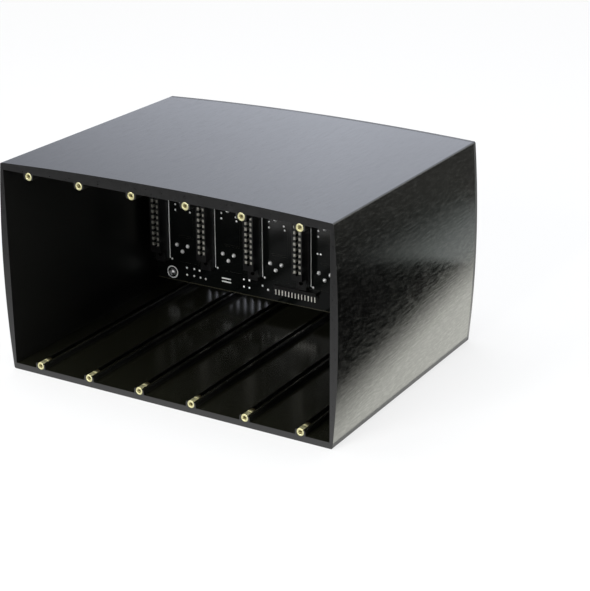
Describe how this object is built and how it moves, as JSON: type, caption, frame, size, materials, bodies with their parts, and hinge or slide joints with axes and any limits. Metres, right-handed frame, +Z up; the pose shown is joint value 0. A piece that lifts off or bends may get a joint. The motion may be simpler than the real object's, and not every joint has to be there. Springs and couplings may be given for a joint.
{
  "type": "audio module rack",
  "caption": "Open-fronted black aluminium case with bowed walls, brass-threaded slots for plug-in audio modules, edge connectors on a backplane and rear sockets.",
  "frame": {"origin": "on the underside, at the middle of the whole width and depth", "axes": "+X along the row of slots to the right seen from the front, +Y from the open front to the back, +Z up"},
  "size_m": [0.24, 0.1892, 0.14],
  "materials": {
    "case": "satin black, fine lines along its depth",
    "brass": "turned brass",
    "panel": "matt black powder coat",
    "black_screws": "blackened steel",
    "bright_screws": "zinc plated steel",
    "sockets": "moulded black plastic",
    "cores": "moulded black plastic",
    "pins": "plated contact pins",
    "board": "black solder mask",
    "connectors": "moulded black plastic",
    "contacts": "tin plated spring contacts"
  },
  "bodies": {
    "root": {"case_sleeve": "case", "upper_inserts": "brass", "lower_inserts": "brass", "rear_panel": "panel", "rear_panel_screws": "black_screws", "input_socket_1": "sockets", "input_socket_2": "sockets", "input_socket_3": "sockets", "input_socket_4": "sockets", "input_socket_5": "sockets", "input_socket_6": "sockets", "input_core_1": "cores", "input_core_2": "cores", "input_core_3": "cores", "input_core_4": "cores", "input_core_5": "cores", "input_core_6": "cores", "output_plug_1": "sockets", "output_plug_2": "sockets", "output_plug_3": "sockets", "output_plug_4": "sockets", "output_plug_5": "sockets", "output_plug_6": "sockets", "power_inlet": "sockets", "socket_bases": "cores", "inlet_base": "cores", "input_contacts": "pins", "output_pins": "pins", "inlet_pins": "pins", "socket_screws": "black_screws", "backplane_board": "board", "board_standoffs": "bright_screws", "board_screws": "bright_screws", "standoff_screws": "black_screws", "edge_connector_1": "connectors", "edge_connector_2": "connectors", "edge_connector_3": "connectors", "edge_connector_4": "connectors", "edge_connector_5": "connectors", "edge_connector_6": "connectors", "edge_contacts_1": "contacts", "edge_contacts_2": "contacts", "edge_contacts_3": "contacts", "edge_contacts_4": "contacts", "edge_contacts_5": "contacts", "edge_contacts_6": "contacts", "pin_header": "connectors", "header_pins": "contacts"}
  },
  "joints": []
}
